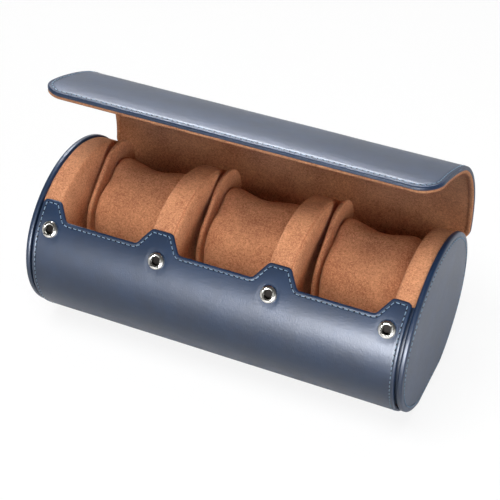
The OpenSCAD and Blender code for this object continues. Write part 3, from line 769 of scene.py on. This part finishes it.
def discPiece(name, stations, tuck, material, grow=0.0, puff=0.0, seed=0.0):  # stations: x, inset
    rings = []
    around = [(math.cos(a) * 3, math.sin(a) * 3) for a in np.radians(outlineAngles)]
    for x, inset in stations:
        swell = puff * ease((6 - inset) / 4) * wavy(around, seed + x / 11) if puff else 0.0
        rings.append(outlineRing(x, grow - inset, tuck, swell))
    return makeMesh(name, np.concatenate(rings), closedTube(len(outlineAngles), len(rings)), material)


# Stations of x and inset: the right end panel and pad from the inside out, and a divider about its middle
panelRim = [(107.0, 2.15), (108.7, 2.1), (108.85, 1.6), (109.0, 0.9), (109.25, 0.35), (109.6, 0.08),
            (110.1, 0.0), (111.0, 0.0), (111.45, 0.1), (111.8, 0.36), (112.04, 0.76), (112.16, 1.25),
            (112.2, 1.9), (112.18, 2.5), (112.08, 2.95), (112.03, 3.25), (112.08, 3.5), (112.22, 3.95),
            (112.28, 4.6), (112.3, 6.0), (112.38, 9.0), (112.42, 14.0), (112.43, 20.0)]
padRim = [(96.1, 16.0), (96.15, 10.0), (96.5, 6.0), (97.1, 3.0), (97.75, 1.1), (98.1, 0.45), (98.5, 0.14),
          (99.2, 0.0), (101.0, -0.07), (104.5, -0.08), (107.2, 0.0), (108.1, 0.14), (108.6, 0.4),
          (108.9, 0.9), (109.1, 2.0), (109.2, 4.6), (109.25, 7.5)]
dividerRim = [(-8.5, 16.0), (-8.42, 11.0), (-8.1, 7.0), (-7.55, 3.6), (-6.95, 1.3), (-6.65, 0.5),
              (-6.3, 0.12), (-5.7, -0.02), (-4.0, -0.08), (0.0, -0.1), (3.4, -0.08), (5.0, 0.0),
              (5.6, 0.12), (5.85, 0.4), (5.98, 0.9), (6.1, 0.92), (6.25, 0.62), (6.55, 0.62), (7.0, 1.05),
              (7.55, 2.2), (8.0, 3.8), (8.25, 6.0), (8.2, 9.0), (7.7, 13.0), (6.8, 18.0), (6.0, 24.0)]
panelLook = {"face": 112.2, "seamIn": 3.25, "seamPoints": 721}


def sided(rim, sign):  # the right end's stations, or the same for the left end
    return [(sign * x, inset) for x, inset in (rim if sign > 0 else rim[::-1])]


for side, sign in (("left", -1), ("right", 1)):
    panel = discPiece(side + "EndPanel", sided(panelRim, sign), None, leather)
    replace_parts(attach(panel, "case"), side + "_end_leather", side + "_end_board")

    def panelPlace(inset, angle, out, sign=sign):
        yz = ovalPoint(angle, -inset)
        yz[:, 1] = np.maximum(yz[:, 1], section["wallOut"] + inset - midZ)
        x = sign * (panelLook["face"] + np.broadcast_to(out, len(yz)))
        return np.column_stack([x, yz[:, 0], yz[:, 1] + midZ])

    turns = np.linspace(90, 450, panelLook["seamPoints"])
    ring = np.column_stack([np.full(len(turns), panelLook["seamIn"]), turns])
    for piece in stitchRun(side + "PanelStitch", panelPlace, ring, thread, holeShade, panelThread, closed=True):
        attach(piece, "case")
    pad = discPiece(side + "EndPad", sided(padRim, sign), -2.5, suede, -1.0, 0.18, sign * 3.0)
    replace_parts(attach(pad, "case"), side + "_end_pad")
    centre = sign * section["notchPitch"] / 2
    stations = [(centre + x, inset) for x, inset in dividerRim]
    divider = discPiece(side + "Divider", stations, -2.5, suede, -1.0, 0.18, sign * 5.0)
    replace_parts(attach(divider, "case"), side + "_divider")
print("panels, pads and dividers done")

# Beds and pillows
pillowLook = {"long": 50.5, "cheek": 3.0, "low": 7.5, "sag": 2.2, "centre": (13, 8),
              "rounds": ((22, 22.5, 20), (9, 7, 24.5)),
              "bays": {"left": -69.475, "middle": 0.0, "right": 69.475},
              "voxel": 2.6, "pressure": 4.0, "frames": 20, "cap": 3.0, "shrink": 1.2}
bedLook = {"top": -16.8, "front": -30.0, "back": 36.0, "round": 5.0, "under": 2.5,
           "middleHalf": 25.95, "sideFrom": 42.95, "sideTo": 96.0,
           "end": [(0, 1.6), (0.3, 0.8), (0.9, 0.3), (2, 0)]}
capScales = (0.9, 0.72, 0.5, 0.28)  # the rings that close an end, as shares of its last ring


def ringSkin(name, rings, material, bulge):
    rings = [np.asarray(r, float) for r in rings]
    n = len(rings[0])
    for sign in (-1, 1):
        base = rings[0] if sign < 0 else rings[-1]
        middle = base.mean(0)
        made = []
        for scale in capScales:
            ring = middle + (base - middle) * scale
            ring[:, 0] += sign * bulge * (1 - scale ** 2)
            made.append(ring)
        rings = made[::-1] + rings if sign < 0 else rings + made
    return makeMesh(name, np.concatenate(rings), closedTube(n, len(rings)), material)


def bedRing(x, inset):
    y0, y1, r = bedLook["front"] + inset, bedLook["back"] - inset, bedLook["round"]
    t = np.linspace(0, 1, 41)
    y = y0 + (y1 - y0) * (0.5 - 0.5 * np.cos(math.pi * t))
    near0, near1 = np.maximum(0, r - (y - y0)), np.maximum(0, r - (y1 - y))
    fall = r - np.sqrt(np.maximum(0, r * r - np.maximum(near0, near1) ** 2))
    top = np.column_stack([y, bedLook["top"] - inset - fall])
    bottom = arcZ - np.sqrt((topR - bedLook["under"]) ** 2 - y ** 2)
    under = np.maximum(bottom, section["wallOut"] + bedLook["under"] - midZ) + inset * 0.3
    yz = np.concatenate([top, np.column_stack([y, under])[::-1]])
    return np.column_stack([np.full(len(yz), float(x)), yz[:, 0], yz[:, 1] + midZ])


def pillowReach(u):  # how far the hull of the two rounds reaches from its centre, for each direction
    best = np.zeros(len(u))
    for t in np.linspace(0, 1, 11):
        cy, cz, r = np.array(pillowLook["rounds"][0]) * (1 - t) + np.array(pillowLook["rounds"][1]) * t
        q = np.array([cy - pillowLook["centre"][0], cz - pillowLook["centre"][1]])
        s = u @ q
        best = np.maximum(best, s + np.sqrt(np.maximum(0, r * r - q @ q + s * s)))
    return best


pillowAngles = np.radians(np.linspace(0, 360, 120, endpoint=False))
pillowDirs = np.column_stack([np.cos(pillowAngles), np.sin(pillowAngles)])
pillowOut = pillowReach(pillowDirs)


def pillowRing(x, lower, inset, pucker=0.0):
    # The cushion is lower than its cheek, and nearly level with it in front.
    drop = 0.7 + (lower - 0.7) * ease((pillowDirs[:, 0] + 0.8) / 0.9) if lower else 0
    r = pillowOut - inset - drop * ease((pillowDirs[:, 1] + 0.95) / 0.9) - pucker
    y, z = (pillowLook["centre"][k] + r * pillowDirs[:, k] for k in (0, 1))
    return np.column_stack([np.full(len(r), float(x)), y, np.maximum(bedLook["top"], z) + midZ])


cheekRim = [(0.15, 3.0), (0.2, 1.5), (0.42, 0.6), (0.8, 0.12), (1.3, 0.0), (2.0, 0.0), (2.5, 0.08),
            (2.8, 0.36), (2.94, 0.9), (2.98, 2.0), (3.0, 5.0)]
coverLong = pillowLook["long"] - pillowLook["cheek"]
coverStart = [(0.1, 3.4), (0.35, 1.9), (0.9, 0.9), (1.6, 0.5), (2.4, 0.3), (3.4, 0.15), (4.6, 0.03)]
coverEnd = [(7.2, 0.08), (5.6, 0.3), (4.2, 0.75), (3.0, 1.45), (1.9, 2.5), (1.0, 3.9), (0.4, 5.6), (0.1, 7.6)]
coverRim = coverStart + [(x, 0.0) for x in np.linspace(6.5, coverLong - 9, 16)] \
    + [(coverLong - x, inset) for x, inset in coverEnd]


def cushionBody(name, start, slim, seed):
    rings = []
    for x, inset in coverRim:
        lower = pillowLook["low"] + pillowLook["sag"] * math.sin(math.pi * x / coverLong) ** 2
        pucker = 0.22 * math.exp(-((x - 2.5) / 3.5) ** 2) * wavy(((a * 7, 0.4) for a in pillowAngles), seed)
        pucker += 0.3 * wavy(((math.cos(a) * 1.6, math.sin(a) * 1.6) for a in pillowAngles), x / 13 + seed)
        rings.append(pillowRing(start + pillowLook["cheek"] + x, lower, inset + slim, pucker))
    return ringSkin(name, rings, suede, 0.3)


def readPoints(piece):
    points = np.zeros(len(piece.data.vertices) * 3)
    piece.data.vertices.foreach_get("co", points)
    return points.reshape(-1, 3)


def puffUp(piece):  # the cover is blown up a little as cloth
    remesh = piece.modifiers.new("even", "REMESH")
    remesh.mode, remesh.voxel_size = "VOXEL", pillowLook["voxel"] / 1000
    applyModifiers(piece)
    before = readPoints(piece)
    cloth = piece.modifiers.new("cover", "CLOTH")
    cloth.settings.use_pressure = True
    cloth.settings.uniform_pressure_force = pillowLook["pressure"]
    cloth.settings.effector_weights.gravity = 0
    cloth.settings.tension_stiffness = cloth.settings.compression_stiffness = 12
    cloth.settings.bending_stiffness = 0.4
    cloth.point_cache.frame_start, cloth.point_cache.frame_end = 1, pillowLook["frames"]
    for moment in range(1, pillowLook["frames"] + 1):
        bpy.context.scene.frame_set(moment)
    applyModifiers(piece)
    move = readPoints(piece) - before
    move -= move.mean(0)
    size = np.linalg.norm(move, axis=1)[:, None] + 1e-9
    move *= np.minimum(1, pillowLook["cap"] / 1000 / size)
    print("cushion cover moved %.1f mm at most" % (np.linalg.norm(move, axis=1).max() * 1000))
    piece.data.vertices.foreach_set("co", (before + move).ravel())
    smooth = piece.modifiers.new("smooth", "SUBSURF")
    smooth.levels = smooth.render_levels = 1
    applyModifiers(piece)
    bpy.context.scene.frame_set(1)
    return piece


def keepOff(piece, start):  # the cover stays off the cheek and the bed, and inside its own length
    spots = readPoints(piece) * 1000
    spots[:, 0] = np.clip(spots[:, 0], start + pillowLook["cheek"] + 0.1, start + pillowLook["long"])
    spots[:, 2] = np.maximum(spots[:, 2], bedLook["top"] + midZ)
    piece.data.vertices.foreach_set("co", (spots / 1000).ravel())
    piece.data.shade_smooth()


for side, xc in pillowLook["bays"].items():
    x0, x1 = (-bedLook["middleHalf"], bedLook["middleHalf"]) if side == "middle" else \
        sorted(math.copysign(v, xc) for v in (bedLook["sideFrom"], bedLook["sideTo"]))
    steps = [(x0 + x, inset) for x, inset in bedLook["end"]]
    steps += [(x, 0) for x in np.linspace(x0 + 8, x1 - 8, 6)]
    steps += [(x1 - x, inset) for x, inset in bedLook["end"][::-1]]
    bed = ringSkin(side + "Bed", [bedRing(x, inset) for x, inset in steps], suede, 0)
    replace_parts(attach(bed, "case"), side + "_bed")
    start = xc - pillowLook["long"] / 2
    rings = [pillowRing(start + x, 0, inset) for x, inset in cheekRim]
    cheek = ringSkin(side + "PillowCheek", rings, suede, 0.0)
    body = puffUp(cushionBody(side + "PillowCushion", start, pillowLook["shrink"], xc))
    keepOff(body, start)
    for piece, node in ((cheek, "cheek"), (body, "cushion")):
        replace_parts(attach(piece, "pillow_" + side),
            "pillow_%s_%s" % (side, node))
print("pillows done")

# Floor, light and camera
stageLook = {"white": paint(250, 250, 250), "bounce": paint(105, 105, 105), "glow": 0.86, "mirrored": 0.04,
             "ambient": 0.085, "horizon": 0.05, "dark": 0.5, "zenith": 0.1}
f = Finish("whiteFloor")
glow = f.node("ShaderNodeEmission", None, {"Color": (1, 1, 1, 1), "Strength": 1.0})
lit = f.node("ShaderNodeBsdfDiffuse", None, {"Color": stageLook["white"]})
unseen = f.node("ShaderNodeBsdfDiffuse", None, {"Color": stageLook["bounce"]})
direct = f.node("ShaderNodeLightPath", out="Is Camera Ray")
share = stageLook["mirrored"] + direct * (stageLook["glow"] - stageLook["mirrored"])
shown = f.node("ShaderNodeMixShader", None, {0: share, 1: lit, 2: glow})
paper = f.node("ShaderNodeMixShader", None, {0: f.seen(), 1: unseen, 2: shown})
floorFinish = f.finish("ShaderNodeOutputMaterial", paper)
bpy.ops.mesh.primitive_grid_add(x_subdivisions=8, y_subdivisions=8, size=8)
floor = bpy.context.object
floor.name = "paperFloor"
floor.data.materials.append(floorFinish)
floor.location.z = -0.0005

f = Finish("studioAir", "worlds")
upward = f.node("ShaderNodeSeparateXYZ", None, {0: f.node("ShaderNodeTexCoord", out="Generated")}, "Z")
bright = 1 - f.ramp(upward, stageLook["horizon"], stageLook["dark"]) * (1 - stageLook["zenith"])
seen = f.seen()
strength = stageLook["ambient"] * (1 - seen) + seen * bright
air = f.node("ShaderNodeBackground", None, {"Color": (1, 1, 1, 1), "Strength": strength})
bpy.context.scene.world = f.finish("ShaderNodeOutputWorld", air)


def softbox(name, place, target, size, power, mirrored=False, lights=True):
    lamp = bpy.data.lights.new(name, "AREA")
    lamp.shape, lamp.size, lamp.size_y, lamp.energy = "RECTANGLE", size[0], size[1], power
    holder = bpy.data.objects.new(name, lamp)
    holder.location = place
    holder.rotation_euler = (Vector(target) - Vector(place)).to_track_quat("-Z", "Y").to_euler()
    holder.visible_glossy, holder.visible_diffuse = mirrored, lights
    bpy.context.scene.collection.objects.link(holder)


softbox("keyBox", (-0.1, -0.44, 1.12), (0, 0, 0.05), (0.9, 0.55), 13)
softbox("topBox", (0.0, 0.5, 1.2), (0, 0, 0.05), (1.0, 0.5), 4)
softbox("frontWindow", (0.2, -1.3, 0.25), (0, 0, 0.05), (0.9, 0.48), 76, True, False)
softbox("backWindow", (-0.34, 0.75, 0.95), (0, 0, 0.1), (0.5, 0.5), 29, True, False)
softbox("rightBox", (1.25, -0.35, 0.4), (0, 0, 0.05), (0.5, 0.35), 8)
softbox("leftBox", (-1.2, -0.35, 0.4), (0, 0, 0.05), (0.5, 0.35), 2)

cameraLook = {"lens": 102.2, "shift": (0.0061, 0.0336), "place": (0.2547, -0.5594, 0.5601),
              "aim": (0, 0, 0.0464)}
lens = bpy.data.cameras.new("camera")
lens.sensor_width, lens.lens, lens.clip_start = 36, cameraLook["lens"], 0.01
lens.shift_x, lens.shift_y = cameraLook["shift"]
camera = bpy.data.objects.new("camera", lens)
camera.location = cameraLook["place"]
camera.rotation_euler = (Vector(cameraLook["aim"]) - camera.location).to_track_quat("-Z", "Y").to_euler()
bpy.context.scene.collection.objects.link(camera)
bpy.context.scene.camera = camera
bpy.context.scene.view_settings.view_transform = "Standard"
